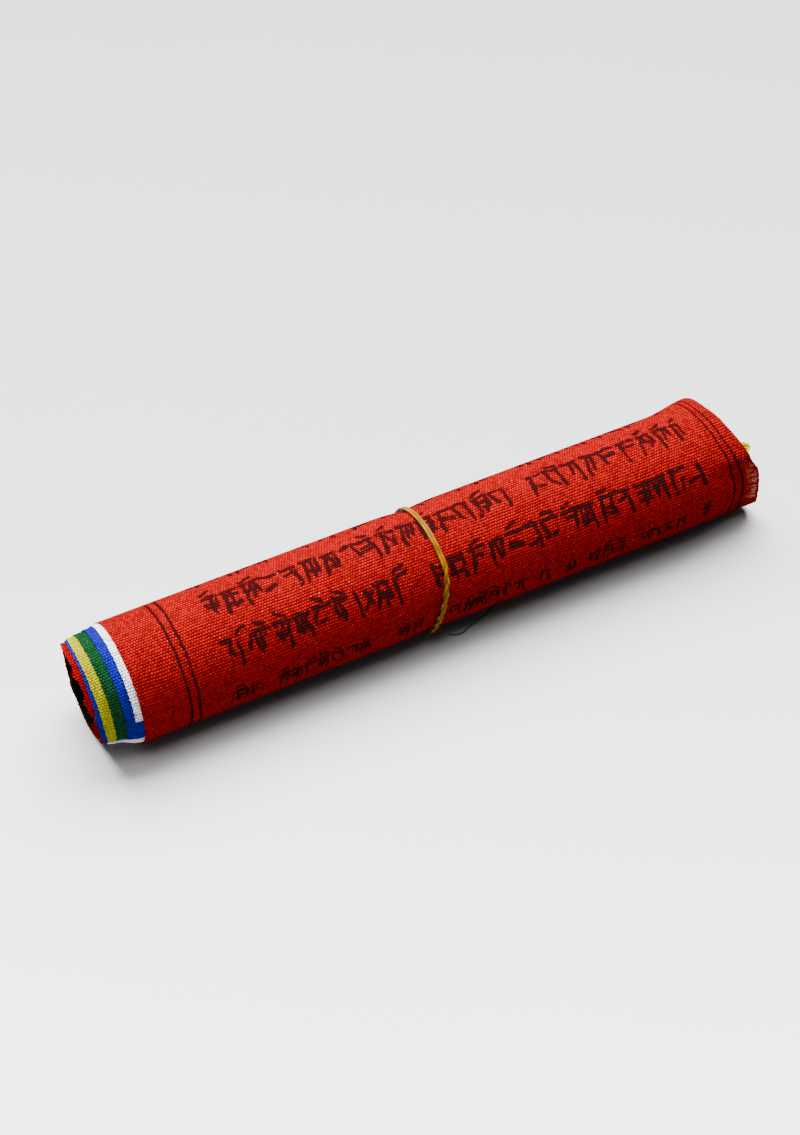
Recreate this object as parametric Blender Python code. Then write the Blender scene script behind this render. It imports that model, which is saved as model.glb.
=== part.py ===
"""Roll of prayer flags: a string of ten printed cloth flags wound into a roll about as thick as
a cardboard tube, held in the middle by a doubled rubber band.

The roll lies along X on the surface z = 0, with the telescoped end at -X and the front at -Y.
Its cloth is one bundle, wound about one and a half times: the printed red flag is the outermost
sheet, and the other flags lie under it, each slid a little further towards -X.
Lengths are in metres, and angles round the roll are in degrees: 0 is the front, 90 the top,
180 the back and -90 the floor.
"""
import math

import bmesh
import bpy
from mathutils import Vector

# The flags and the roll
FLAG_WIDTH = 0.221            # along the roll, the top edge to the bottom edge of a flag
EDGE_RUN = 0.0053             # the right edge runs out this far at the front,
CORNER_RUN = 0.0020           # this much further at its lower corner,
EDGE_SHORT = 0.0017           # and stays this far back at the top and behind
RUN_LENGTH = 0.0300
CORNER_REACH = 0.0021         # the yellow corner stands this far past the red flag
ROLL_RADIUS = 0.0202          # outside of the red flag, before the roll settles
OVAL = 0.02                   # share by which the roll is wider and lower than round
AXIS_HEIGHT = 0.0189          # lower than the radius, which leaves a flat spot about 10 mm wide
CLEARANCE = 0.0003            # between pieces that lie on each other

# The bundle, from its outside inwards
RED_THICKNESS = 0.0010
LAYER_THICKNESS = 0.0004
LAYERS = (
    {"colour": "white", "slide": 0.0023},
    {"colour": "blue", "slide": 0.0053},
    {"colour": "green", "slide": 0.0089},
    {"colour": "yellow", "slide": 0.0119},
    {"colour": "blue", "slide": 0.0127},
    {"colour": "red", "slide": 0.0147},
)
STACK_DEPTH = RED_THICKNESS + CLEARANCE
STACK_THICKNESS = LAYER_THICKNESS * len(LAYERS)
PITCH = STACK_DEPTH + STACK_THICKNESS + CLEARANCE

# The winding
OUTER_END = 215.0             # the free end lies behind, below the widest place
TURNED = 560.0                # the bundle goes round this far, over the top and down the front
STACK_BACK = 5.0              # the stack ends this far short of the red flag, at both ends
STEPS_IN_FROM = 310.0         # a turn is round to here, then steps in under the free end
STEP = 10.0                   # between two sections of the winding

LENGTH = LAYERS[-1]["slide"] + FLAG_WIDTH + EDGE_RUN + CORNER_RUN
RED_LEFT = -LENGTH / 2 + LAYERS[-1]["slide"]
RED_RIGHT = RED_LEFT + FLAG_WIDTH

# The rubber band, and how it nips the cloth
BAND_X = 0.00135              # the band lies straight across the top and the back
BAND_SLIP = 0.0054            # and has slipped towards -X on the lower front
SLIP_AT = -55.0
SLIP_ENDS = 105.0
SLIP_GROWS = 75.0
STRAND = 0.0009               # thickness of one strand
STRAND_APART = STRAND + CLEARANCE
WAIST_DEPTH = 0.0006
WAIST_LENGTH = 0.0060
UNDER_WAIST = 0.0018          # the cloth is drawn up from the surface under the band

# Where the cloth at the ends leaves the even roll
DENT_DEPTH = 0.0026           # the right end is pushed in flat at the front,
DENT_LENGTH = 0.0200
DENT_TOP = 38.0               # between these two angles
DENT_LOW = -42.0
DENT_TURN = 22.0
FLARE = 0.0018                # the right end flares at the top
FLARE_LENGTH = 0.0190
FLARE_AT = 135.0
FLARE_SPREAD = 58.0
SHRINK_DEPTH = 0.0022         # the slid layers draw in below the red flag's edge
SHRINK_LENGTH = 0.0080
SHRINK_AT = -50.0
SHRINK_SPREAD = 55.0
SAG_DEPTH = 0.0030            # the slid layers sag into the hollow, in front
SAG_FROM = 0.0060
SAG_LENGTH = 0.0090
SAG_AT = 45.0
SAG_SPREAD = 46.0
BACK_SHORT = 0.0034           # their edges stay back behind, below, and in the inner turn
BELOW_SHORT = 0.0031
INNER_SHORT = 0.0040
SHORT_FROM = 0.0100


def bell(value, centre, spread):
    """A smooth hump that is 1 at its centre."""
    return math.exp(-((value - centre) / spread) ** 2)


def ramp(value):
    """0 below 0, 1 above 1, and a smooth rise between them."""
    value = min(max(value, 0.0), 1.0)
    return value * value * (3.0 - 2.0 * value)


def wrapped(angle, centre):
    """The same angle, brought within half a turn of a centre."""
    return (angle - centre + 180.0) % 360.0 - 180.0 + centre


def band_x(angle):
    """Where the band crosses the cloth at an angle."""
    away = abs(wrapped(angle, SLIP_AT) - SLIP_AT)
    return BAND_X - BAND_SLIP * ramp((SLIP_ENDS - away) / SLIP_GROWS)


def wound_radius(turned):
    """Radius of the bundle's outside after winding this far from its free end.
    A turn is round, and steps in by one pitch where it passes under the free end."""
    whole_turns, rest = divmod(turned, 360.0)
    steps_in = ramp((rest - STEPS_IN_FROM) / (360.0 - STEPS_IN_FROM))
    return ROLL_RADIUS - PITCH * (whole_turns + steps_in)


def pressed_in(angle, x):
    """How far the cloth lies inside the even roll: the waist, the right end's dent and flare, and
    the slid layers of the left end, which draw in and sag."""
    inward = WAIST_DEPTH * bell(x, band_x(angle), WAIST_LENGTH)
    dent_way = ramp((x - RED_RIGHT + DENT_LENGTH) / DENT_LENGTH)
    front = wrapped(angle, 0.0)
    inward += (DENT_DEPTH * dent_way * ramp((DENT_TOP - front) / DENT_TURN)
               * ramp((front - DENT_LOW) / DENT_TURN))
    flare_way = ramp((x - RED_RIGHT + FLARE_LENGTH) / FLARE_LENGTH)
    inward -= FLARE * flare_way * bell(wrapped(angle, FLARE_AT), FLARE_AT, FLARE_SPREAD)
    shrink_way = ramp((RED_LEFT - x) / SHRINK_LENGTH)
    inward += SHRINK_DEPTH * shrink_way * bell(wrapped(angle, SHRINK_AT), SHRINK_AT, SHRINK_SPREAD)
    sag_way = ramp((RED_LEFT - SAG_FROM - x) / SAG_LENGTH)
    inward += SAG_DEPTH * sag_way * bell(wrapped(angle, SAG_AT), SAG_AT, SAG_SPREAD)
    return inward


def cloth_radius(turned, depth, x):
    """Distance from the axis of a point in the bundle, a depth under its outside."""
    angle = OUTER_END - turned
    oval = 1.0 + OVAL * math.cos(math.radians(2.0 * angle))
    radius = wound_radius(turned) * oval - depth - pressed_in(angle, x)
    downward = math.cos(math.radians(angle + 90.0))
    if downward > 0.3 and turned < 360.0:
        lifted = UNDER_WAIST * bell(x, band_x(-90.0), WAIST_LENGTH)
        radius = min(radius, (AXIS_HEIGHT - depth - lifted) / downward)
    return radius


def run_along(turned, x):
    """Where a point of the cloth lies along X: the edges at both ends don't run square."""
    front = wrapped(OUTER_END - turned, 60.0)
    run = (EDGE_SHORT + EDGE_RUN) * ramp((92.0 - front) / 88.0) + CORNER_RUN * ramp((5.0 - front) / 34.0)
    run = run * ramp((front + 110.0) / 60.0) - EDGE_SHORT
    right_share = min(max((x - RED_RIGHT + RUN_LENGTH) / RUN_LENGTH, 0.0), 1.0)
    back = BACK_SHORT * ramp((120.0 - turned) / 90.0) + BELOW_SHORT * ramp((turned - 200.0) / 70.0)
    back += INNER_SHORT * ramp((turned - 362.0) / 50.0)
    left_share = min(max((RED_LEFT + SHORT_FROM - x) / (SHORT_FROM + LAYERS[-1]["slide"]), 0.0), 1.0)
    return x + run * right_share ** 3 + back * left_share ** 3


def round_point(angle, radius, x):
    """The point at an angle and a distance from the roll's axis, which is above y = 0 here."""
    turn = math.radians(angle)
    return Vector((x, -radius * math.cos(turn), AXIS_HEIGHT + radius * math.sin(turn)))


def cloth_point(turned, depth, x):
    return round_point(OUTER_END - turned, cloth_radius(turned, depth, x), run_along(turned, x))


def spaced(start, end, longest):
    """Evenly spaced values from start up to, but without, end."""
    count = max(1, math.ceil(abs(end - start) / longest - 1e-6))
    return [start + (end - start) * i / count for i in range(count)]


def length_stations():
    """Places along X for the long faces: close at the band and at the dented end."""
    stations = spaced(RED_LEFT, BAND_X - 0.012, 0.030) + spaced(BAND_X - 0.012, BAND_X + 0.012, 0.004)
    stations += spaced(BAND_X + 0.012, RED_RIGHT - DENT_LENGTH, 0.030)
    return stations + spaced(RED_RIGHT - DENT_LENGTH, RED_RIGHT, 0.0045) + [RED_RIGHT]


def make_material(name, colour, roughness):
    material = bpy.data.materials.new(name)
    material.use_nodes = True
    shader = material.node_tree.nodes["Principled BSDF"]
    shader.inputs["Base Color"].default_value = colour
    shader.inputs["Roughness"].default_value = roughness
    shader.inputs["Metallic"].default_value = 0.0
    return material


def add_mesh(name, mesh_builder, material):
    """Finish a bmesh as a named, smooth-shaded object."""
    bmesh.ops.recalc_face_normals(mesh_builder, faces=mesh_builder.faces)
    mesh = bpy.data.meshes.new(name)
    mesh_builder.to_mesh(mesh)
    mesh_builder.free()
    mesh.materials.append(material)
    mesh.shade_smooth()
    mesh.set_sharp_from_angle(angle=math.radians(40))
    thing = bpy.data.objects.new(name, mesh)
    bpy.context.collection.objects.link(thing)
    return thing


def wind(name, section, start, end, material):
    """Sweep a closed section of (depth, x) pairs along the winding, and close both its ends.
    All that is wound has its sections at the same angles, so turns lie evenly on each other."""
    builder = bmesh.new()
    between = [STEP * i for i in range(math.ceil(end / STEP)) if STEP * i > start]
    rings = []
    for turned in [start] + between + [end]:
        rings.append([builder.verts.new(cloth_point(turned, depth, x)) for depth, x in section])
    for ring, following in zip(rings, rings[1:]):
        for i in range(len(section)):
            j = (i + 1) % len(section)
            builder.faces.new((ring[i], ring[j], following[j], following[i]))
    builder.faces.new(rings[0][::-1])
    builder.faces.new(rings[-1])
    return add_mesh(name, builder, material)


def red_section():
    """The printed flag, a plain sheet from edge to edge."""
    stations = length_stations()
    outside = [(0.0, x) for x in stations]
    inside = [(RED_THICKNESS, x) for x in reversed(stations)]
    return outside + inside


def stack_section():
    """The flags under the red one: a stair of layers at each end."""
    section = []
    for i, layer in enumerate(LAYERS):
        depth = STACK_DEPTH + i * LAYER_THICKNESS
        section.append((depth, RED_LEFT - layer["slide"]))
        section.append((depth + LAYER_THICKNESS, RED_LEFT - layer["slide"]))
    innermost = STACK_DEPTH + STACK_THICKNESS
    last_slide = LAYERS[-1]["slide"]
    section += [(innermost, x) for x in length_stations() if x < RED_RIGHT - last_slide - 0.002]
    for i in reversed(range(len(LAYERS))):
        depth = STACK_DEPTH + i * LAYER_THICKNESS
        section.append((depth + LAYER_THICKNESS, RED_RIGHT - LAYERS[i]["slide"]))
        section.append((depth, RED_RIGHT - LAYERS[i]["slide"]))
    first_end = RED_RIGHT - LAYERS[0]["slide"] - 0.002
    section += [(STACK_DEPTH, x) for x in reversed(length_stations()) if x < first_end]
    return section


def make_yellow_corner(material):
    """The corner of a yellow flag that stands out of the right end, on the turn under it."""
    root_x = RED_RIGHT - LAYERS[3]["slide"] + 2 * CLEARANCE
    tip_x = RED_RIGHT + CORNER_REACH
    rows = 8
    columns = 6
    outside = PITCH - CLEARANCE - RED_THICKNESS
    builder = bmesh.new()
    grids = []
    for depth in (outside, outside + RED_THICKNESS):
        grid = []
        for i in range(rows + 1):
            share = i / rows
            x = root_x + (tip_x - root_x) * share
            half_angle = 18.0 * (1.0 - share) + 3.0 * share
            grid.append([])
            for j in range(columns + 1):
                angle = 44.0 + half_angle * (2.0 * j / columns - 1.0)
                grid[i].append(builder.verts.new(cloth_point(OUTER_END - angle, depth, x)))
        grids.append(grid)
    top, under = grids
    for i in range(rows):
        for j in range(columns):
            builder.faces.new((top[i][j], top[i][j + 1], top[i + 1][j + 1], top[i + 1][j]))
            builder.faces.new((under[i][j], under[i + 1][j], under[i + 1][j + 1], under[i][j + 1]))
    for i in range(rows):
        for j, flip in ((0, False), (columns, True)):
            wall = [top[i][j], top[i + 1][j], under[i + 1][j], under[i][j]]
            builder.faces.new(wall[::-1] if flip else wall)
    for j in range(columns):
        for i, flip in ((0, True), (rows, False)):
            wall = [top[i][j], top[i][j + 1], under[i][j + 1], under[i][j]]
            builder.faces.new(wall[::-1] if flip else wall)
    return add_mesh("yellow_flag_corner", builder, material)


def band_outline():
    """The outside of the cloth under the band, with the step at the free end bridged:
    the convex outline of the section, as (y, z) pairs in order of angle."""
    points = []
    for turned in range(0, 360, 2):
        point = cloth_point(turned, 0.0, band_x(OUTER_END - turned))
        points.append((point.y, point.z))
    points.sort()

    def chain(ordered):
        kept = []
        for point in ordered:
            while len(kept) > 1:
                (ay, az), (by, bz) = kept[-2], kept[-1]
                if (by - ay) * (point[1] - az) - (bz - az) * (point[0] - ay) > 0:
                    break
                kept.pop()
            kept.append(point)
        return kept[:-1]

    return chain(points) + chain(points[::-1])


def outline_reach(outline, angle):
    """Distance from the axis to the outline along an angle."""
    turn = math.radians(angle)
    way = (-math.cos(turn), math.sin(turn))
    for (ay, az), (by, bz) in zip(outline, outline[1:] + outline[:1]):
        az, bz = az - AXIS_HEIGHT, bz - AXIS_HEIGHT
        across = way[0] * (bz - az) - way[1] * (by - ay)
        if abs(across) < 1e-12:
            continue
        reach = (ay * (bz - az) - az * (by - ay)) / across
        share = (ay * way[1] - az * way[0]) / across
        if reach > 0 and -1e-9 <= share <= 1 + 1e-9:
            return reach
    return ROLL_RADIUS


TWIST_START = 44.0            # the two strands lie flat, and are twisted on the lower front
TWIST_END = -42.0
HALF_TWISTS = 7
TWIST_STEP = 2.0
FLAT_STEP = 5.0
STRAND_SIDES = 6
TOP_LIFT = 0.0006             # the band bows off the cloth a little at the top


def strand_point(outline, angle, strand):
    """Middle of one strand: the pair turns round its own middle where it is twisted."""
    along = (TWIST_START - angle) / (TWIST_START - TWIST_END)
    turned = math.pi * (HALF_TWISTS * min(max(along, 0.0), 1.0) + strand)
    raised = ramp((TWIST_START + 12.0 - angle) / 12.0) * ramp((angle - TWIST_END + 12.0) / 12.0)
    middle = outline_reach(outline, angle) + CLEARANCE + STRAND / 2 + raised * STRAND_APART / 2
    middle += TOP_LIFT * bell(angle, 135.0, 18.0)
    x = band_x(angle) + math.cos(turned) * STRAND_APART / 2
    return round_point(angle, middle + math.sin(turned) * STRAND_APART / 2, x)


def make_rubber_band(material):
    """One closed loop that goes round twice, so an odd number of half twists closes it."""
    outline = band_outline()
    path = []
    angles = spaced(OUTER_END, TWIST_START, FLAT_STEP) + spaced(TWIST_START, TWIST_END, TWIST_STEP)
    angles += spaced(TWIST_END, OUTER_END - 360.0, FLAT_STEP)
    for strand in range(2):
        path += [strand_point(outline, angle, strand) for angle in angles]
    builder = bmesh.new()
    rings = []
    count = len(path)
    for i in range(count):
        ahead = (path[(i + 1) % count] - path[i - 1]).normalized()
        side = ahead.cross(Vector((1, 0, 0))).normalized()
        other = ahead.cross(side).normalized()
        ring = []
        for j in range(STRAND_SIDES):
            turn = math.tau * (j + 0.5) / STRAND_SIDES
            rim = side * math.cos(turn) + other * math.sin(turn)
            ring.append(builder.verts.new(path[i] + rim * STRAND / 2))
        rings.append(ring)
    for i in range(count):
        following = rings[(i + 1) % count]
        for j in range(STRAND_SIDES):
            k = (j + 1) % STRAND_SIDES
            builder.faces.new((rings[i][j], rings[i][k], following[k], following[j]))
    return add_mesh("rubber_band", builder, material)


THREAD = 0.0005
# The loose thread lies on the surface, from under the roll's belly out in front of it
THREAD_ROUTE = (
    {"x": 0.0397, "y": -0.0082},
    {"x": 0.0342, "y": -0.0088},
    {"x": 0.0261, "y": -0.0106},
    {"x": 0.0179, "y": -0.0137},
    {"x": 0.0109, "y": -0.0158},
    {"x": 0.0062, "y": -0.0173},
    {"x": 0.0026, "y": -0.0158},
)
THREAD_SPACING = 0.00125


def smooth_route(route, spacing):
    """Points at an even spacing on a smooth curve through a route's own points."""
    corners = [Vector((row["x"], row["y"], THREAD / 2)) for row in route]
    ends = [2 * corners[0] - corners[1]] + corners + [2 * corners[-1] - corners[-2]]
    fine = []
    for before, start, end, after in zip(ends, ends[1:], ends[2:], ends[3:]):
        for i in range(40):
            t = i / 40
            fine.append(0.5 * (2 * start + (end - before) * t
                               + (2 * before - 5 * start + 4 * end - after) * t ** 2
                               + (3 * start - before - 3 * end + after) * t ** 3))
    fine.append(corners[-1])
    length = sum((b - a).length for a, b in zip(fine, fine[1:]))
    count = round(length / spacing)
    points = [fine[0]]
    walked = 0.0
    for a, b in zip(fine, fine[1:]):
        step = (b - a).length
        while walked + step >= len(points) * length / count - 1e-12 and len(points) < count:
            share = (len(points) * length / count - walked) / step
            points.append(a.lerp(b, share))
        walked += step
    return points + [fine[-1]]


def make_thread(material):
    """A green sewing thread with both ends free."""
    points = smooth_route(THREAD_ROUTE, THREAD_SPACING)
    curve = bpy.data.curves.new("loose_thread", "CURVE")
    curve.dimensions = "3D"
    curve.bevel_depth = THREAD / 2
    curve.bevel_resolution = 2
    curve.use_fill_caps = True
    spline = curve.splines.new("POLY")
    spline.points.add(len(points) - 1)
    for slot, point in zip(spline.points, points):
        slot.co = (*point, 1.0)
    curve.materials.append(material)
    thing = bpy.data.objects.new("loose_thread", curve)
    bpy.context.collection.objects.link(thing)
    return thing


def centre_over_origin(things, measured):
    """Move all pieces together, so that the box of the measured ones is centred on y = 0."""
    sides = [corner[1] for thing in measured for corner in thing.bound_box]
    for thing in things:
        thing.location.y = -(min(sides) + max(sides)) / 2


for old in list(bpy.data.objects):
    bpy.data.objects.remove(old, do_unlink=True)

red_flag = wind("outer_flag_red", red_section(), 0.0, TURNED,
                make_material("red_cotton", (0.62, 0.02, 0.012, 1.0), 0.85))
stack = wind("wound_flags", stack_section(), STACK_BACK, TURNED - STACK_BACK,
             make_material("stacked_cotton", (0.03, 0.12, 0.45, 1.0), 0.85))
corner = make_yellow_corner(make_material("yellow_cotton", (0.85, 0.75, 0.02, 1.0), 0.85))
band = make_rubber_band(make_material("golden_rubber", (0.55, 0.33, 0.08, 1.0), 0.45))
thread = make_thread(make_material("green_thread", (0.01, 0.08, 0.03, 1.0), 0.8))
centre_over_origin((red_flag, stack, corner, band, thread), (red_flag, stack, corner, band))
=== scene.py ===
import math
import random

import bmesh
import bpy
from mathutils import Matrix, Vector


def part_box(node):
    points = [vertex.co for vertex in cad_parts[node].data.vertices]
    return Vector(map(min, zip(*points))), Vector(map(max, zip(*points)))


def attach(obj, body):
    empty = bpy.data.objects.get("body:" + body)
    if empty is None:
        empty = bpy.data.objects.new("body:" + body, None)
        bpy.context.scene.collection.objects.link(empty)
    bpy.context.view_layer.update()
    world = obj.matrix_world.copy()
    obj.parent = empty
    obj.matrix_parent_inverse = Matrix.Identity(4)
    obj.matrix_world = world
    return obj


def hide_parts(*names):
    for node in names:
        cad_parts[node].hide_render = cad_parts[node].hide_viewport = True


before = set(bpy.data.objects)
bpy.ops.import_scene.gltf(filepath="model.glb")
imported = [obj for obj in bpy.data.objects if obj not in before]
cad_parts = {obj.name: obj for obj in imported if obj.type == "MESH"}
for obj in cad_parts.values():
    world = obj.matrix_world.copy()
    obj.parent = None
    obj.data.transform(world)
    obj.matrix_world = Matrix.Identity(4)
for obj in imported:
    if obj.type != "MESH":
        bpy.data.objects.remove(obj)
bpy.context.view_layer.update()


# Camera
# The picture looks down on the roll from its front and its slid-out end.
# The red flag's left edge and the roll's axis are read from the frame.
flag_width = 0.221
axis_behind_front = 0.02052
axis_height = 0.0189
red_low_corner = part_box("outer_flag_red")[0]
flag_left = red_low_corner[0]
flag_right = flag_left + flag_width
axis_y = red_low_corner[1] + axis_behind_front
picture_width, picture_height = 800, 1135
sensor_height = 36.0
middle_pixel = (430.8, 563.5)
middle_from_left = 0.111
middle_of_flag = Vector((flag_left + middle_from_left, axis_y, axis_height))
camera_distance = 0.772
camera_focal_pixels = 2346.0
camera_down = math.radians(47.07)
camera_turn = math.radians(27.52)
ahead = Vector((math.sin(camera_turn) * math.cos(camera_down),
                math.cos(camera_turn) * math.cos(camera_down), -math.sin(camera_down)))
rightward = Vector((math.cos(camera_turn), -math.sin(camera_turn), 0.0))
upward = rightward.cross(ahead)
to_middle = (ahead + rightward * (middle_pixel[0] - picture_width / 2) / camera_focal_pixels
             - upward * (middle_pixel[1] - picture_height / 2) / camera_focal_pixels)
bpy.ops.object.camera_add()
camera = bpy.context.object
camera.name = "camera"
camera.matrix_world = (Matrix.Translation(middle_of_flag - to_middle * camera_distance)
                       @ Matrix((rightward, upward, -ahead)).transposed().to_4x4())
camera.data.sensor_fit = "VERTICAL"
camera.data.sensor_height = sensor_height
camera.data.lens = camera_focal_pixels * sensor_height / picture_height
camera.data.clip_start = 0.01
bpy.context.scene.camera = camera


# Loose thread
# A dark green sewing thread that has come out of a seam. It lies on the surface, from under
# the roll's belly out in front of it, and both its ends are cut.
thread_thickness = 0.0005
points_per_stretch = 6
thread_route = (
    {"x": 0.0397, "y": -0.0082},
    {"x": 0.0342, "y": -0.0088},
    {"x": 0.0261, "y": -0.0106},
    {"x": 0.0179, "y": -0.0137},
    {"x": 0.0109, "y": -0.0158},
    {"x": 0.0062, "y": -0.0173},
    {"x": 0.0026, "y": -0.0158},
)


def smooth_route(route, height):
    """Points on a smooth curve through a route's own points, which start under the roll's axis."""
    corners = [Vector((row["x"], axis_y + row["y"], height)) for row in route]
    ends = [2 * corners[0] - corners[1]] + corners + [2 * corners[-1] - corners[-2]]
    points = []
    for before, start, end, after in zip(ends, ends[1:], ends[2:], ends[3:]):
        for i in range(points_per_stretch):
            t = i / points_per_stretch
            points.append(0.5 * (2 * start + (end - before) * t
                                 + (2 * before - 5 * start + 4 * end - after) * t ** 2
                                 + (3 * start - before - 3 * end + after) * t ** 3))
    return points + [corners[-1]]


def spun_thread(name, colour):
    """A spun thread: fine plies, lighter and darker."""
    material = bpy.data.materials.new(name)
    material.use_nodes = True
    nodes, links = material.node_tree.nodes, material.node_tree.links
    shader = nodes["Principled BSDF"]
    shader.inputs["Roughness"].default_value = 0.75
    place = nodes.new("ShaderNodeTexCoord")
    plies = nodes.new("ShaderNodeTexNoise")
    plies.inputs["Scale"].default_value = 2500.0
    plies.inputs["Detail"].default_value = 2.0
    tones = nodes.new("ShaderNodeValToRGB")
    tones.color_ramp.elements[0].position = 0.35
    tones.color_ramp.elements[0].color = (*[c * 0.35 for c in colour], 1.0)
    tones.color_ramp.elements[1].position = 0.65
    tones.color_ramp.elements[1].color = (*colour, 1.0)
    links.new(place.outputs["Object"], plies.inputs["Vector"])
    links.new(plies.outputs["Fac"], tones.inputs["Fac"])
    links.new(tones.outputs["Color"], shader.inputs["Base Color"])
    return material


thread_points = smooth_route(thread_route, thread_thickness / 2)
bpy.ops.curve.primitive_bezier_curve_add()
thread = bpy.context.object
thread.name = "loose_thread_spun"
thread.data.splines.clear()
thread_spline = thread.data.splines.new("POLY")
thread_spline.points.add(len(thread_points) - 1)
for slot, point in zip(thread_spline.points, thread_points):
    slot.co = (*point, 1.0)
thread.data.dimensions = "3D"
thread.data.bevel_depth = thread_thickness / 2
thread.data.bevel_resolution = 2
thread.data.use_fill_caps = True
thread.data.materials.append(spun_thread("green_thread_spun", (0.012, 0.21, 0.095)))
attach(thread, "root")
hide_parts("loose_thread")


# Printed red flag
# A sheet of coarse, plain-woven red cotton, block printed in dark brown: a double line round its
# border and rows of marks. It is the outside of the bundle, wound a turn and a half.
cloth_thickness = 0.0003
layer_depth = 0.00037
edge_ragged = 0.00007
smooth_angle = math.radians(50)
roll_radius = 0.0202
oval = 0.02
bundle_pitch = 0.0040
outer_end = 215.0
turned_in_all = 560.0
steps_in_from = 310.0
# The band presses a waist into the cloth, and it has slipped to one side on the lower front
band_top_x = 0.00135
band_slip = {"by": 0.0054, "at": -55.0, "reach": 105.0, "fades_over": 75.0}
waist = {"deep": 0.0006, "spread": 0.006, "lift_below": 0.0018}
# The right end has a flat dent in front and a flare at the upper back. Angles are in degrees, and
# go from the front over the top
dent = {"deep": 0.0026, "length": 0.020, "top": 40.0, "bottom": -42.0, "fades_over": 16.0}
flare = {"out": 0.0018, "length": 0.019, "at": 135.0, "spread": 58.0}
# The slid layers at the left end draw in below and sag in front, past the red flag's edge
left_sags = (
    {"deep": 0.0022, "past": 0.0, "length": 0.008, "at": -50.0, "spread": 55.0},
    {"deep": 0.0030, "past": 0.006, "length": 0.009, "at": 45.0, "spread": 46.0},
)
# The edges run out of square, by so many metres, from one angle on, over so many degrees
right_edge_runs = (
    {"by": 0.0070, "from": 92.0, "over": -88.0},
    {"by": 0.0016, "from": 38.0, "over": -20.0},
    {"by": 0.0022, "from": 0.0, "over": -34.0},
)
right_edge_below = ({"by": 1.0, "from": -110.0, "over": 60.0},)
right_edge_inset = 0.0017
right_top_inset = {"by": 0.0016, "from": 80.0, "over": 30.0, "until": 230.0, "fades_over": 60.0}
right_end_length = 0.030
left_edge_runs = (
    {"by": 0.0034, "from": 120.0, "over": -90.0},
    {"by": 0.0031, "from": 200.0, "over": 70.0},
    {"by": 0.0040, "from": 362.0, "over": 50.0},
)
left_edge_notch = {"by": 0.0008, "at": 366.0, "spread": 24.0}
left_end_from = flag_left + 0.010
left_end_length = 0.0247
# Edges that a corner passes on its way out, each a layer deeper
passed_edges = (
    {"out": 0.0020, "drops_over": 0.0015},
    {"out": 0.0056, "drops_over": 0.0015},
    {"out": 0.0088, "drops_over": 0.0010},
)


def bell(value, centre, spread):
    """One at the centre, next to nothing two spreads away."""
    return math.exp(-((value - centre) / spread) ** 2)


def clamped(value):
    return min(max(value, 0.0), 1.0)


def ramp(value):
    """A smooth rise from nought to one."""
    value = clamped(value)
    return value * value * (3.0 - 2.0 * value)


def wrapped(angle, centre):
    """The same angle, within half a turn of the centre."""
    return (angle - centre + 180.0) % 360.0 - 180.0 + centre


def all_runs(runs, angle):
    return sum(run["by"] * ramp((angle - run["from"]) / run["over"]) for run in runs)


def band_x(angle):
    """Where the band's middle lies along the roll."""
    away = abs(wrapped(angle, band_slip["at"]) - band_slip["at"])
    return band_top_x - band_slip["by"] * ramp((band_slip["reach"] - away) / band_slip["fades_over"])


def wound_radius(turned):
    """Outside of the bundle: round, then a step in by one pitch under the free end."""
    whole_turns, rest = divmod(turned, 360.0)
    steps_in = ramp((rest - steps_in_from) / (360.0 - steps_in_from))
    return roll_radius - bundle_pitch * (whole_turns + steps_in)


def pressed_in(angle, x):
    """How far the cloth lies inside the even roll: the waist under the band, the flat dent and the
    flare of the right end, and the slid layers, which draw in below and sag in front."""
    front = wrapped(angle, 0.0)
    right = x - flag_right
    inward = waist["deep"] * bell(x, band_x(angle), waist["spread"])
    in_dent = ramp((dent["top"] - front) / dent["fades_over"])
    in_dent *= ramp((front - dent["bottom"]) / dent["fades_over"])
    inward += dent["deep"] * ramp(right / dent["length"] + 1.0) * in_dent
    flared = bell(wrapped(angle, flare["at"]), flare["at"], flare["spread"])
    inward -= flare["out"] * ramp(right / flare["length"] + 1.0) * flared
    for sag in left_sags:
        sagging = bell(wrapped(angle, sag["at"]), sag["at"], sag["spread"])
        inward += sag["deep"] * ramp((flag_left - sag["past"] - x) / sag["length"]) * sagging
    return inward


def run_along(turned, x):
    """Where a point of the cloth lies along X: the edges at both ends don't run square."""
    front = wrapped(outer_end - turned, 60.0)
    run = all_runs(right_edge_runs, front) * all_runs(right_edge_below, front) - right_edge_inset
    top = ramp((front - right_top_inset["from"]) / right_top_inset["over"])
    top *= ramp((right_top_inset["until"] - front) / right_top_inset["fades_over"])
    run -= right_top_inset["by"] * top
    right_share = clamped((x - flag_right) / right_end_length + 1.0)
    back = all_runs(left_edge_runs, turned)
    back -= left_edge_notch["by"] * bell(turned, left_edge_notch["at"], left_edge_notch["spread"])
    left_share = clamped((left_end_from - x) / left_end_length)
    return x + run * right_share ** 3 + back * left_share ** 3


def cloth_point(turned, depth, x):
    """A point of the bundle, this far round from its free end and this deep under its outside."""
    angle = outer_end - turned
    evenness = 1.0 + oval * math.cos(math.radians(2.0 * angle))
    radius = wound_radius(turned) * evenness - depth - pressed_in(angle, x)
    downward = math.cos(math.radians(angle + 90.0))
    if downward > 0.3 and turned < 360.0:
        lifted = waist["lift_below"] * bell(x, band_x(-90.0), waist["spread"])
        radius = min(radius, (axis_height - depth - lifted) / downward)
    turn = math.radians(angle)
    return Vector((run_along(turned, x), axis_y - radius * math.cos(turn),
                   axis_height + radius * math.sin(turn)))


def stands_out(steps, turned):
    """How far the left edge stands out past its even place, where it is cut in steps."""
    out = 0.0
    for step in steps:
        out = step["out"] if turned >= step["from"] else out
    return out


def pressed_on(out):
    """How much deeper a corner lies where it has passed the edges of the flags under it."""
    return layer_depth * sum(ramp((out - edge["out"]) / edge["drops_over"]) for edge in passed_edges)


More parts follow.
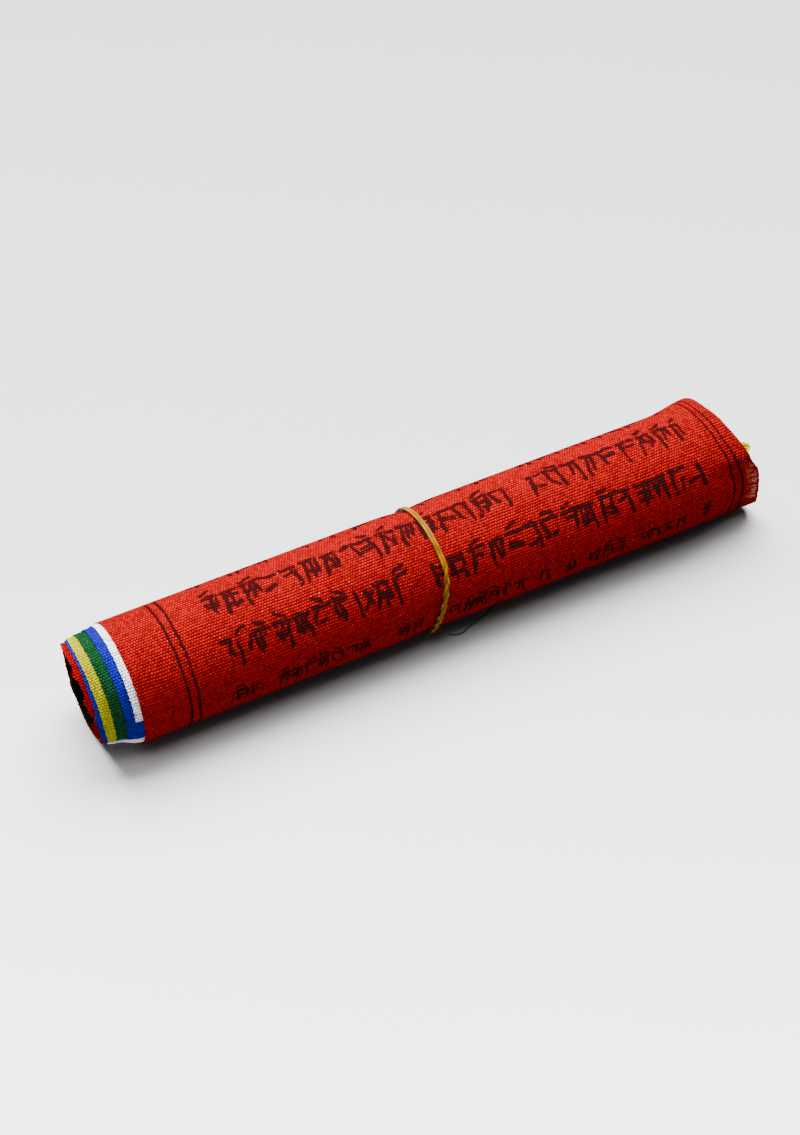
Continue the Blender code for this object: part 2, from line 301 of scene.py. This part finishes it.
def waves(turned):
    """The waves of a slack left edge, which show in the stretch that faces the camera."""
    in_front = ramp((turned - 110.0) / 20.0) * ramp((245.0 - turned) / 20.0)
    return in_front * (math.sin(turned * 0.17) + 0.6 * math.sin(turned * 0.39 + 1.0))


def set_flat_map(sheet, flat):
    """Write a cloth's UV map, in metres, from where each vertex lies on the flat cloth."""
    for corner in sheet.data.loops:
        sheet.data.uv_layers.active.data[corner.index].uv = flat[corner.vertex_index]
    sheet.location = (0.0, 0.0, 0.0)


def face_outward(sheet):
    """Turn the faces over if the middle one looks at the roll's axis."""
    builder = bmesh.new()
    builder.from_mesh(sheet.data)
    builder.faces.ensure_lookup_table()
    middle = builder.faces[len(builder.faces) // 2]
    centre = middle.calc_center_median()
    if middle.normal.dot(centre - Vector((centre.x, axis_y, axis_height))) < 0.0:
        bmesh.ops.reverse_faces(builder, faces=builder.faces)
    builder.to_mesh(sheet.data)
    builder.free()


def give_thickness(sheet, offset):
    thicken = sheet.modifiers.new("thickness", "SOLIDIFY")
    thicken.thickness = cloth_thickness
    thicken.offset = offset
    bpy.ops.object.modifier_apply(modifier=thicken.name)


def wind_sheet(name, left, depth, starts, ends, cells, steps=(), wavy=0.0):
    """Cut a flat grid the size of a flag, and lay it on the winding. Its UV map is in metres:
    U from the left edge, V round from the first row of cells. Its cut edges are a little ragged,
    and the left one may be wavy or cut in steps."""
    columns, rows = cells
    bpy.ops.object.select_all(action="DESELECT")
    bpy.ops.mesh.primitive_grid_add(x_subdivisions=columns, y_subdivisions=rows, size=1.0)
    sheet = bpy.context.object
    sheet.name = name
    uneven = random.Random(name)
    edge_left = [uneven.gauss(0.0, edge_ragged) for _ in range(rows + 1)]
    edge_right = [uneven.gauss(0.0, edge_ragged) for _ in range(rows + 1)]
    turned_at = [starts + (ends - starts) * j / rows for j in range(rows + 1)]
    middle_line = [cloth_point(turned, depth, left + flag_width / 2) for turned in turned_at]
    metres = [0.0, 0.0]
    for before, now in zip(middle_line[1:], middle_line[2:]):
        metres.append(metres[-1] + (now - before).length)
    for j, turned in enumerate(turned_at):
        edge_left[j] -= stands_out(steps, turned)
        edge_left[j] += wavy * waves(turned)
    flat = {}
    for vertex in sheet.data.vertices:
        even = vertex.co.x + 0.5
        # Columns stand closer together towards both edges
        along = 0.35 * even + 0.65 * (0.5 - 0.5 * math.cos(math.pi * even))
        j = round((vertex.co.y + 0.5) * rows)
        x = left + flag_width * along + edge_right[j] * (along > 0.9999)
        x += edge_left[j] * max(1.0 - along / 0.15, 0.0)
        flat[vertex.index] = (flag_width * along, metres[j])
        deeper = pressed_on(left - x) if steps else 0.0
        vertex.co = cloth_point(turned_at[j], depth + deeper, x)
    set_flat_map(sheet, flat)
    face_outward(sheet)
    give_thickness(sheet, -1.0)
    bpy.ops.object.shade_smooth_by_angle(angle=smooth_angle)
    return sheet


class NodeBench:
    """Adds the shader nodes of one cloth, and links them as they are added."""

    def __init__(self, material):
        self.nodes = material.node_tree.nodes
        self.links = material.node_tree.links

    def feed(self, socket, value):
        if isinstance(value, bpy.types.NodeSocket):
            self.links.new(value, socket)
        elif value is not None:
            socket.default_value = value

    def math(self, operation, first, second=None, third=None, clamp=False):
        node = self.nodes.new("ShaderNodeMath")
        node.operation = operation
        node.use_clamp = clamp
        for socket, value in zip(node.inputs, (first, second, third)):
            self.feed(socket, value)
        return node.outputs["Value"]

    def vector(self, operation, first, second=None, third=None, scale=None, out="Vector"):
        node = self.nodes.new("ShaderNodeVectorMath")
        node.operation = operation
        for socket, value in zip(node.inputs, (first, second, third)):
            self.feed(socket, value)
        if scale is not None:
            self.feed(node.inputs["Scale"], scale)
        return node.outputs[out]

    def mix(self, share, first, second):
        node = self.nodes.new("ShaderNodeMix")
        node.data_type = "RGBA"
        self.feed(node.inputs["Factor"], share)
        self.feed(node.inputs["A"], first)
        self.feed(node.inputs["B"], second)
        return node.outputs["Result"]

    def step(self, value, low, high):
        node = self.nodes.new("ShaderNodeMapRange")
        node.interpolation_type = "SMOOTHSTEP"
        self.feed(node.inputs["Value"], value)
        node.inputs["From Min"].default_value = low
        node.inputs["From Max"].default_value = high
        return node.outputs["Result"]

    def noise(self, place, scale, detail=2.0, out="Fac"):
        node = self.nodes.new("ShaderNodeTexNoise")
        node.inputs["Scale"].default_value = scale
        node.inputs["Detail"].default_value = detail
        self.feed(node.inputs["Vector"], place)
        return node.outputs[out]

    def chance(self, place, out="Value"):
        node = self.nodes.new("ShaderNodeTexWhiteNoise")
        node.noise_dimensions = "3D"
        self.feed(node.inputs["Vector"], place)
        return node.outputs[out]

    def shake(self, colour, amount):
        """A small shift, as much one way as the other, from a colour that varies by chance."""
        return self.vector("SCALE", self.vector("SUBTRACT", colour, (0.5, 0.5, 0.5)), scale=amount)

    def rest(self, share):
        return self.math("SUBTRACT", 1.0, share)

    def window(self, value, opens, closes):
        """One between the two edges, nought outside them."""
        return self.math("MULTIPLY", self.step(value, *opens), self.rest(self.step(value, *closes)))

    def separate(self, vector):
        node = self.nodes.new("ShaderNodeSeparateXYZ")
        self.feed(node.inputs["Vector"], vector)
        return node.outputs

    def combine(self, x, y, z=0.0):
        node = self.nodes.new("ShaderNodeCombineXYZ")
        for socket, value in zip(node.inputs, (x, y, z)):
            self.feed(socket, value)
        return node.outputs["Vector"]


thread_pitch = 0.00095
ink_colour = (0.0052, 0.0018, 0.0020, 1.0)


def woven_cloth(name, light, dark, printed=None, thin_place=None):
    """Plain weave: threads along the roll and round it, with painted shade in the holes between them,
    and a few thread crossings painted pale as glints. A print is a function that gives its ink from the
    flat U and V."""
    material = bpy.data.materials.new(name)
    material.use_nodes = True
    bench = NodeBench(material)
    shader = bench.nodes["Principled BSDF"]
    shader.inputs["Roughness"].default_value = 0.72
    shader.inputs["Specular IOR Level"].default_value = 0.0
    map_node = bench.nodes.new("ShaderNodeUVMap")
    map_node.uv_map = "UVMap"
    flat = map_node.outputs["UV"]
    swayed = bench.vector("ADD", flat, bench.shake(bench.noise(flat, 90.0, 1.0, "Color"), 0.0011))
    counted = bench.vector("SCALE", swayed, scale=1.0 / thread_pitch)
    square = bench.separate(counted)
    odd_row = bench.math("MODULO", bench.math("FLOOR", square["Y"]), 2.0)
    counted = bench.combine(bench.math("MULTIPLY_ADD", odd_row, 0.5, square["X"]), square["Y"])
    parts = bench.separate(counted)
    ridges = [bench.math("ABSOLUTE", bench.math("SINE", bench.math("MULTIPLY", parts[axis], math.pi)))
              for axis in ("X", "Y")]
    cell = bench.vector("FLOOR", counted)
    cell_parts = bench.separate(cell)
    parity = bench.math("MODULO", bench.math("ADD", cell_parts["X"], cell_parts["Y"]), 2.0)
    over = bench.math("ABSOLUTE", parity)
    top_thread = bench.math("MULTIPLY", ridges[0], bench.math("MULTIPLY_ADD", ridges[1], 0.45, 0.55))
    low_thread = bench.math("MULTIPLY", ridges[1], bench.math("MULTIPLY_ADD", ridges[0], 0.45, 0.55))
    crossing = bench.math("ADD", bench.math("MULTIPLY", top_thread, over),
                          bench.math("MULTIPLY", low_thread, bench.rest(over)))
    # Painted shade: the holes between the threads and the threads' edges are darkened towards the dark
    # colour. The tone by thread and the slubs are the cotton's own.
    cover = bench.step(bench.math("MAXIMUM", *ridges), 0.40, 0.95)
    rows = bench.step(ridges[1], 0.0, 0.55)
    columns = bench.step(ridges[0], 0.0, 0.5)
    depth = bench.math("MULTIPLY", cover, bench.math("MULTIPLY_ADD", rows, 0.26, 0.74))
    depth = bench.math("MULTIPLY", depth, bench.math("MULTIPLY_ADD", columns, 0.34, 0.66))
    slub = bench.noise(bench.vector("MULTIPLY", flat, (90.0, 1500.0, 1.0)), 1.0, 2.0)
    slub_round = bench.noise(bench.vector("MULTIPLY", flat, (1500.0, 90.0, 1.0)), 1.0, 2.0)
    thread_tone = bench.math("MULTIPLY_ADD", bench.math("ADD", slub, slub_round), 0.5, -0.5)
    depth = bench.math("ADD", depth, bench.math("MULTIPLY", thread_tone, 1.3), clamp=True)
    by_thread = bench.chance(bench.vector("ADD", cell, (0.0, 0.0, 5.0)))
    fill = bench.math("MULTIPLY", depth, bench.math("MULTIPLY_ADD", by_thread, 0.62, 0.62), clamp=True)
    colour = bench.mix(fill, (*dark, 1.0), (*light, 1.0))
    if thin_place is not None:
        colour = bench.mix(*thin_place(bench, swayed, depth), colour)
    # Painted highlight: a few thread crossings are painted pale as glints.
    glint = bench.step(bench.chance(cell), 0.975, 1.0)
    glint = bench.math("MULTIPLY", glint, bench.math("MULTIPLY", bench.math("POWER", crossing, 9.0), 0.6))
    glint_paint = tuple(0.09 + 1.3 * c for c in light)
    if printed is not None:
        ink = printed(bench, swayed, cell)
        ink_hold = bench.math("MULTIPLY_ADD", crossing, -0.14, 1.0)
        colour = bench.mix(bench.math("MULTIPLY", ink, ink_hold), colour, ink_colour)
        glint = bench.math("MULTIPLY", glint, bench.math("MULTIPLY_ADD", ink, -0.5, 1.0))
    colour = bench.mix(glint, colour, (*glint_paint, 1.0))
    bench.links.new(colour, shader.inputs["Base Color"])
    bump = bench.nodes.new("ShaderNodeBump")
    bump.inputs["Strength"].default_value = 0.9
    bump.inputs["Distance"].default_value = 0.00045
    relief = bench.math("MULTIPLY_ADD", crossing, 0.75, bench.math("MULTIPLY", slub, 0.35))
    bench.links.new(relief, bump.inputs["Height"])
    bench.links.new(bump.outputs["Normal"], shader.inputs["Normal"])
    return material


# A mark is a few strokes in a small field, in millimetres from the field's lower left. Each stroke
# is there by chance, and its ends are shifted by chance, so that no two marks are the same
mark_strokes = (
    {"from": (0.3, 3.7), "to": (5.6, 3.4), "half": 0.74, "chance": 0.86, "shift": 0.5},
    {"from": (1.2, 3.3), "to": (1.0, -1.4), "half": 0.68, "chance": 0.66, "shift": 1.4},
    {"from": (4.9, 3.3), "to": (5.3, -4.2), "half": 0.66, "chance": 0.80, "shift": 1.0},
    {"from": (1.2, 0.7), "to": (4.9, 1.1), "half": 0.62, "chance": 0.50, "shift": 1.8},
    {"from": (3.2, 3.2), "to": (2.6, -2.2), "half": 0.62, "chance": 0.34, "shift": 1.6},
    {"from": (0.9, -1.8), "to": (4.6, -1.2), "half": 0.66, "chance": 0.46, "shift": 1.5},
    {"from": (1.7, 6.4), "to": (4.9, 5.2), "half": 0.64, "chance": 0.34, "shift": 0.9},
    {"from": (0.8, 1.2), "to": (2.8, -3.0), "half": 0.60, "chance": 0.28, "shift": 1.6},
)
mark_field = 6.9
first_row = 10.1
row_pitch = 16.35
marks_across = {"opens": (29.5, 29.9), "closes": (206.0, 206.4)}
border_lines = (
    {"from_left": 15.8, "half": 0.46},
    {"from_left": 18.8, "half": 0.46},
    {"from_left": 214.2, "half": 0.34},
    {"from_left": 216.7, "half": 0.36},
)


def flag_print(bench, flat, cell):
    """Ink of the border lines and of the rows of made-up marks, laid out in millimetres."""
    ragged = bench.shake(bench.noise(flat, 1400.0, 2.0, "Color"), 0.0006)
    rough = bench.separate(bench.vector("SCALE", bench.vector("ADD", flat, ragged), scale=1000.0))
    curl = bench.shake(bench.noise(flat, 260.0, 1.0, "Color"), 2.2)
    curled = bench.separate(bench.vector("ADD", bench.combine(rough["X"], rough["Y"]), curl))
    ink = None
    for line in border_lines:
        away = bench.math("ABSOLUTE", bench.math("SUBTRACT", rough["X"], line["from_left"]))
        stripe = bench.rest(bench.step(away, line["half"] - 0.1, line["half"] + 0.1))
        ink = stripe if ink is None else bench.math("MAXIMUM", ink, stripe)
    across, down = curled["X"], curled["Y"]
    row_place = bench.math("DIVIDE", bench.math("SUBTRACT", down, first_row), row_pitch)
    row = bench.math("FLOOR", bench.math("ADD", row_place, 0.5))
    height = bench.math("MULTIPLY", bench.math("SUBTRACT", row, row_place), row_pitch)
    small = bench.math("COMPARE", bench.math("MODULO", row, 5.0), 4.0, 0.5)
    grow = bench.math("MULTIPLY_ADD", small, 0.45, 1.0)
    height = bench.math("MULTIPLY", height, grow)
    fields = bench.math("DIVIDE", bench.math("MULTIPLY", across, grow), mark_field)
    fields = bench.math("ADD", fields, bench.math("MULTIPLY", row, 0.37))
    field = bench.math("FLOOR", fields)
    inside = bench.math("MULTIPLY", bench.math("SUBTRACT", fields, field), mark_field)
    seed = bench.combine(field, row, 3.0)
    turned_round = bench.math("GREATER_THAN", bench.chance(seed), 0.5)
    mirrored = bench.math("SUBTRACT", mark_field, inside)
    inside = bench.math("ADD", bench.math("MULTIPLY", mirrored, turned_round),
                        bench.math("MULTIPLY", inside, bench.rest(turned_round)))
    point = bench.combine(inside, height)
    marks = None
    for number, stroke in enumerate(mark_strokes):
        own = bench.vector("ADD", seed, (0.0, 0.0, 10.0 + 3.0 * number))
        shift = bench.shake(bench.chance(own, "Color"), stroke["shift"])
        shift = bench.vector("MULTIPLY", shift, (1.0, 1.0, 0.0))
        start = bench.vector("ADD", shift, (*stroke["from"], 0.0))
        end = bench.vector("MULTIPLY_ADD", shift, (-1.0, 0.8, 0.0), (*stroke["to"], 0.0))
        way = bench.vector("SUBTRACT", end, start)
        offset = bench.vector("SUBTRACT", point, start)
        share = bench.math("DIVIDE", bench.vector("DOT_PRODUCT", offset, way, out="Value"),
                           bench.vector("DOT_PRODUCT", way, way, out="Value"), clamp=True)
        miss = bench.vector("SUBTRACT", offset, bench.vector("SCALE", way, scale=share))
        away = bench.vector("LENGTH", miss, out="Value")
        there = bench.math("LESS_THAN", bench.chance(bench.vector("ADD", own, (0.5, 0.5, 0.0))),
                           stroke["chance"])
        line = bench.rest(bench.step(away, stroke["half"] - 0.08, stroke["half"] + 0.1))
        line = bench.math("MULTIPLY", line, there)
        marks = line if marks is None else bench.math("MAXIMUM", marks, line)
    gap = bench.math("GREATER_THAN", bench.chance(bench.vector("ADD", seed, (0.0, 0.0, 90.0))),
                     bench.math("MULTIPLY_ADD", small, 0.20, 0.12))
    marks = bench.math("MULTIPLY", marks, gap)
    inside_border = bench.window(across, **marks_across)
    ink = bench.math("MAXIMUM", ink, bench.math("MULTIPLY", marks, inside_border))
    missed = bench.step(bench.chance(bench.vector("ADD", cell, (0.0, 0.0, 7.0))), 0.90, 1.0)
    return bench.math("MULTIPLY", ink, bench.math("MULTIPLY_ADD", missed, -0.4, 1.0))


# Where the weave is worn open near the lower right corner, in metres of the flat flag, and the
# yellow and white cotton that show under it
worn_down = {"opens": (0.062, 0.067), "closes": (0.081, 0.087)}
worn_across = {"opens": (0.2176, 0.2188), "closes": (0.2202, 0.2207)}
worn_colours = {"near": (0.20, 0.10, 0.002, 1.0), "far": (0.55, 0.34, 0.34, 1.0)}


def open_edge(bench, flat, depth):
    """Near the lower right corner the weave is so open that the flags under it show through."""
    place = bench.separate(flat)
    worn = bench.math("MULTIPLY", bench.window(place["Y"], **worn_down),
                      bench.window(place["X"], **worn_across))
    patches = bench.step(bench.noise(flat, 420.0, 1.0), 0.40, 0.62)
    holes = bench.rest(bench.step(depth, 0.25, 0.75))
    open_share = bench.math("MULTIPLY", worn, bench.math("MULTIPLY", patches, holes))
    outermost = bench.step(place["X"], 0.2190, 0.2198)
    return bench.rest(open_share), bench.mix(outermost, worn_colours["near"], worn_colours["far"])


red_flag = wind_sheet("outer_flag_red_printed", flag_left, 0.0, 0.0, turned_in_all, (150, 190))
# The dark colour is painted shade in the weave's holes, and it also gives the threads their uneven tone.
red_cotton_light = (0.158, 0.0018, 0.0022)
red_cotton_dark = (0.006, 0.0003, 0.0004)
red_flag.data.materials.append(
    woven_cloth("red_printed_cotton", red_cotton_light, red_cotton_dark, flag_print, open_edge))
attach(red_flag, "root")
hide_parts("outer_flag_red")


# Flags under the red one
# Nine more flags of the same cut, in white, blue, green, yellow and red cotton. They are wound
# together with the red one, and slid by different lengths out of the left end.
# The white one is cut back below the front, and its lower corner wraps round the others below
white_steps = ({"from": 206.0, "out": -0.0040}, {"from": 235.0, "out": 0.0098}, {"from": 300.0, "out": 0.0})
thin_blue_steps = ({"from": 150.0, "out": 0.0003}, {"from": 190.0, "out": 0.0008})
yellow_tip_steps = ({"from": 258.0, "out": 0.0052}, {"from": 274.0, "out": 0.0})
under_flags = (
    {"colour": "white", "slide": 0.0023, "wavy": 0.0, "steps": white_steps},
    {"colour": "blue", "slide": 0.0053, "wavy": 0.0, "steps": ()},
    {"colour": "green", "slide": 0.0089, "wavy": 0.0, "steps": ()},
    {"colour": "yellow", "slide": 0.0119, "wavy": 0.0, "steps": ()},
    {"colour": "blue", "slide": 0.0127, "wavy": 0.0, "steps": thin_blue_steps},
    {"colour": "red", "slide": 0.0147, "wavy": 0.00045, "steps": ()},
    {"colour": "white", "slide": 0.0110, "wavy": 0.0, "steps": ()},
    {"colour": "yellow", "slide": 0.0100, "wavy": 0.0, "steps": yellow_tip_steps},
    # The innermost flag is the green cotton painted darker: painted shade in the hollow of the roll.
    {"colour": "shaded green", "slide": 0.0143, "wavy": 0.0, "steps": ()},
)
# A cotton's dark colour is painted shade in the weave's holes, and it also gives its threads their uneven
# tone.
cotton_colours = {
    "white": {"light": (0.66, 0.58, 0.63), "dark": (0.012, 0.009, 0.011)},
    "blue": {"light": (0.0048, 0.0066, 0.142), "dark": (0.0012, 0.0006, 0.030)},
    "green": {"light": (0.0040, 0.0280, 0.0090), "dark": (0.0006, 0.0056, 0.0022)},
    "yellow": {"light": (0.195, 0.190, 0.0002), "dark": (0.050, 0.044, 0.0002)},
    "red": {"light": (0.120, 0.0008, 0.0018), "dark": (0.014, 0.0004, 0.0006)},
    # The yellow cotton painted lighter, as painted light on the corner that stands out of the right end.
    "yellow painted lit": {"light": (0.62, 0.60, 0.001), "dark": (0.30, 0.27, 0.001)},
    # The green cotton painted darker, as painted shade for the innermost flag.
    "shaded green": {"light": (0.0015, 0.0070, 0.0030), "dark": (0.0005, 0.0015, 0.0005)},
}
cottons = {name: woven_cloth(name.replace(" ", "_") + "_cotton", tones["light"], tones["dark"])
           for name, tones in cotton_colours.items()}
for number, layer in enumerate(under_flags, start=1):
    flag = wind_sheet(f"flag_{number}_{layer['colour'].replace(' ', '_')}", flag_left - layer["slide"],
                      layer_depth * number, 0.8 + 0.3 * number, turned_in_all - 4.0 - number, (70, 260),
                      steps=layer["steps"], wavy=layer["wavy"])
    flag.data.materials.append(cottons[layer["colour"]])
    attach(flag, "root")
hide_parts("wound_flags")


# Yellow flag's corner
# One corner of a yellow flag stands out of the right end. It is the same cotton, doubled over, and
# nothing but the winding holds it. Its colour is painted lighter than the flag's: painted light.
corner_rows = 14
corner_columns = 10
corner_strips = 2 * corner_columns + 1
corner_root = flag_right - 0.0116
corner_tip = flag_right + 0.0026
corner_depths = (0.0027, 0.0033)
corner_rise = 0.0016
corner_wave = 0.0003
corner_at = 47.0
corner_size = (0.0137, 0.0150)
metres_per_degree = 0.0004
bpy.ops.object.select_all(action="DESELECT")
bpy.ops.mesh.primitive_grid_add(x_subdivisions=corner_rows, y_subdivisions=corner_strips, size=1.0)
corner = bpy.context.object
corner.name = "yellow_flag_corner_folded"
corner_flat = {}
for vertex in corner.data.vertices:
    share = vertex.co.x + 0.5
    k = round((vertex.co.y + 0.5) * corner_strips)
    under = k > corner_columns
    across = (corner_strips - k if under else k) / corner_columns
    x = corner_root + (corner_tip - corner_root) * share
    half_angle = 18.0 * (1.0 - share) + 7.0 * math.sqrt(1.0 - 0.9 * share ** 4)
    raised = ramp((x - flag_right) / (corner_tip - flag_right))
    depth = corner_depths[under] - corner_rise * raised + corner_wave * share * math.sin(across * 4.0)
    round_way = metres_per_degree * half_angle * (k - corner_columns) / corner_columns
    corner_flat[vertex.index] = (corner_size[0] * share, round_way)
    vertex.co = cloth_point(outer_end - corner_at - half_angle * (2.0 * across - 1.0), depth, x)
set_flat_map(corner, corner_flat)
give_thickness(corner, 0.0)
bpy.ops.object.mode_set(mode="EDIT")
bpy.ops.mesh.select_all(action="SELECT")
bpy.ops.mesh.normals_make_consistent(inside=False)
bpy.ops.object.mode_set(mode="OBJECT")
bpy.ops.object.shade_smooth_by_angle(angle=smooth_angle)
# Painted light: the corner gets the yellow cotton painted lighter.
corner.data.materials.append(cottons["yellow painted lit"])
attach(corner, "root")
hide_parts("yellow_flag_corner")


# Rubber band
# One golden band put round the roll twice. Its two strands lie side by side over the top, and
# are twisted round each other on the lower front.
strand_thickness = 0.0009
strand_apart = 0.00092
twist_start = 44.0
twist_end = -42.0
half_twists = 7
strand_stations = 300
station_degrees = 1.2
ring_corners = 12


def band_outline():
    """The convex outline of the cloth under the band, as (y, z) pairs in order of angle."""
    points = []
    for turned in range(0, 360, 2):
        point = cloth_point(turned, 0.0, band_x(outer_end - turned))
        points.append((point.y, point.z))
    points.sort()
    outline = []
    for ordered in (points, points[::-1]):
        kept = []
        for point in ordered:
            while len(kept) > 1:
                (ay, az), (by, bz) = kept[-2], kept[-1]
                if (by - ay) * (point[1] - az) - (bz - az) * (point[0] - ay) > 0:
                    break
                kept.pop()
            kept.append(point)
        outline += kept[:-1]
    return outline


def outline_reach(outline, angle):
    """Distance from the roll's axis to the outline along an angle."""
    way = (-math.cos(math.radians(angle)), math.sin(math.radians(angle)))
    for (ay, az), (by, bz) in zip(outline, outline[1:] + outline[:1]):
        ay, by, az, bz = ay - axis_y, by - axis_y, az - axis_height, bz - axis_height
        across = way[0] * (bz - az) - way[1] * (by - ay)
        if abs(across) > 1e-12:
            reach = (ay * (bz - az) - az * (by - ay)) / across
            share = (ay * way[1] - az * way[0]) / across
            if reach > 0 and -1e-9 <= share <= 1 + 1e-9:
                return reach
    return roll_radius


def strand_point(outline, angle, strand):
    """Middle of one strand, and how far it has turned round the pair's middle."""
    along = (twist_start - angle) / (twist_start - twist_end)
    turned = math.pi * (half_twists * clamped(along) + strand)
    raised = ramp((twist_start + 12.0 - angle) / 12.0) * ramp((angle - twist_end + 12.0) / 12.0)
    reach = outline_reach(outline, angle) + strand_thickness / 2 + raised * strand_apart * 0.4
    reach += 0.0002 * bell(angle, 138.0, 14.0)
    reach += math.sin(turned) * strand_apart / 2
    x = band_x(angle) + math.cos(turned) * strand_apart / 2
    turn = math.radians(angle)
    point = Vector((x, axis_y - reach * math.cos(turn), axis_height + reach * math.sin(turn)))
    return point, turned


outline_under_band = band_outline()
band_path = []
for strand in range(2):
    for i in range(strand_stations):
        band_path.append(strand_point(outline_under_band, outer_end - station_degrees * i, strand))
bpy.ops.object.select_all(action="DESELECT")
bpy.ops.mesh.primitive_circle_add(vertices=8, radius=strand_thickness / 2)
band = bpy.context.object
band.name = "rubber_band_twisted"
builder = bmesh.new()
rings = []
for i, (point, turned) in enumerate(band_path):
    course = (band_path[(i + 1) % len(band_path)][0] - band_path[i - 1][0]).normalized()
    side = course.cross(Vector((1, 0, 0))).normalized()
    other = course.cross(side).normalized()
    ring = []
    for j in range(ring_corners):
        turn = math.tau * (j + 0.5) / ring_corners
        # A square strand with rounded edges
        squared = 1.0 / (abs(math.cos(turn)) ** 4 + abs(math.sin(turn)) ** 4) ** 0.25
        lean = turn - turned
        rim = side * math.cos(lean) + other * math.sin(lean)
        ring.append(builder.verts.new(point + rim * squared * strand_thickness / 2))
    rings.append(ring)
for i, ring in enumerate(rings):
    following = rings[(i + 1) % len(rings)]
    # The last ring meets the first one half a turn round
    shift = ring_corners // 2 if i + 1 == len(rings) else 0
    for j in range(ring_corners):
        k = (j + 1) % ring_corners
        builder.faces.new((ring[j], ring[k], following[(k + shift) % ring_corners],
                           following[(j + shift) % ring_corners]))
bmesh.ops.recalc_face_normals(builder, faces=builder.faces)
builder.to_mesh(band.data)
builder.free()
bpy.ops.object.shade_smooth_by_angle(angle=smooth_angle)
rubber = bpy.data.materials.new("golden_rubber")
rubber.use_nodes = True
bench = NodeBench(rubber)
shader = bench.nodes["Principled BSDF"]
shader.inputs["Roughness"].default_value = 0.4
shader.inputs["Specular IOR Level"].default_value = 0.02
place = bench.nodes.new("ShaderNodeTexCoord").outputs["Object"]
streak = bench.noise(bench.vector("MULTIPLY", place, (2600.0, 260.0, 260.0)), 1.0, 2.0)
bench.links.new(bench.mix(bench.step(streak, 0.35, 0.7), (0.066, 0.028, 0.0006, 1.0),
                          (0.138, 0.064, 0.0006, 1.0)), shader.inputs["Base Color"])
band.data.materials.append(rubber)
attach(band, "root")
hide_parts("rubber_band")


# Surface and light
# A pale seamless sheet of paper under the roll. One large soft light stands above and behind it, a
# little to its right, and a small weak one hangs overhead.
bpy.ops.object.select_all(action="DESELECT")
bpy.ops.mesh.primitive_plane_add(size=6.0, location=(0.0, 0.0, -0.0001))
floor = bpy.context.object
floor.name = "surface"
floor_paint = bpy.data.materials.new("pale_paper")
floor_paint.use_nodes = True
bench = NodeBench(floor_paint)
shader = bench.nodes["Principled BSDF"]
shader.inputs["Roughness"].default_value = 0.9
shader.inputs["Specular IOR Level"].default_value = 0.1
place = bench.nodes.new("ShaderNodeTexCoord").outputs["Object"]
# Painted shade: the paper is painted darker away from the camera, standing in for how the light falls
# across it. The noise is the paper's own uneven tone.
away = bench.vector("DOT_PRODUCT", place, (math.sin(camera_turn), math.cos(camera_turn), 0.0), out="Value")
away = bench.math("ADD", away, bench.math("MULTIPLY_ADD", bench.noise(place, 4.0, 2.0), 0.04, -0.02))
painted_paper_shade = bench.nodes.new("ShaderNodeValToRGB")
painted_paper_shade.color_ramp.elements[0].position = 0.0
painted_paper_shade.color_ramp.elements[0].color = (0.515, 0.515, 0.522, 1.0)
painted_paper_shade.color_ramp.elements[1].position = 1.0
painted_paper_shade.color_ramp.elements[1].color = (0.212, 0.212, 0.216, 1.0)
painted_paper_shade.color_ramp.elements.new(0.42).color = (0.302, 0.302, 0.307, 1.0)
bench.links.new(bench.math("MULTIPLY_ADD", away, 1.8, 0.36, clamp=True), painted_paper_shade.inputs["Fac"])
bench.links.new(painted_paper_shade.outputs["Color"], shader.inputs["Base Color"])
floor.data.materials.append(floor_paint)

world = bpy.data.worlds.new("soft_room")
world.use_nodes = True
world.node_tree.nodes["Background"].inputs["Color"].default_value = (0.9, 0.92, 1.0, 1.0)
world.node_tree.nodes["Background"].inputs["Strength"].default_value = 0.10
bpy.context.scene.world = world


def soft_light(name, place, target, wide, high, power):
    bpy.ops.object.light_add(type="AREA", location=place)
    light = bpy.context.object
    light.name = name
    light.data.shape = "RECTANGLE"
    light.data.size = wide
    light.data.size_y = high
    light.data.energy = power
    light.rotation_euler = (Vector(target) - Vector(place)).to_track_quat("-Z", "Y").to_euler()


soft_light("softbox_behind", (0.34, 1.15, 2.085), (0.0, 0.0, 0.0), 3.0, 2.1, 820.0)
soft_light("softbox_overhead", (-0.4, -0.3, 2.6), (0.0, 0.0, 0.0), 1.4, 1.4, 62.0)
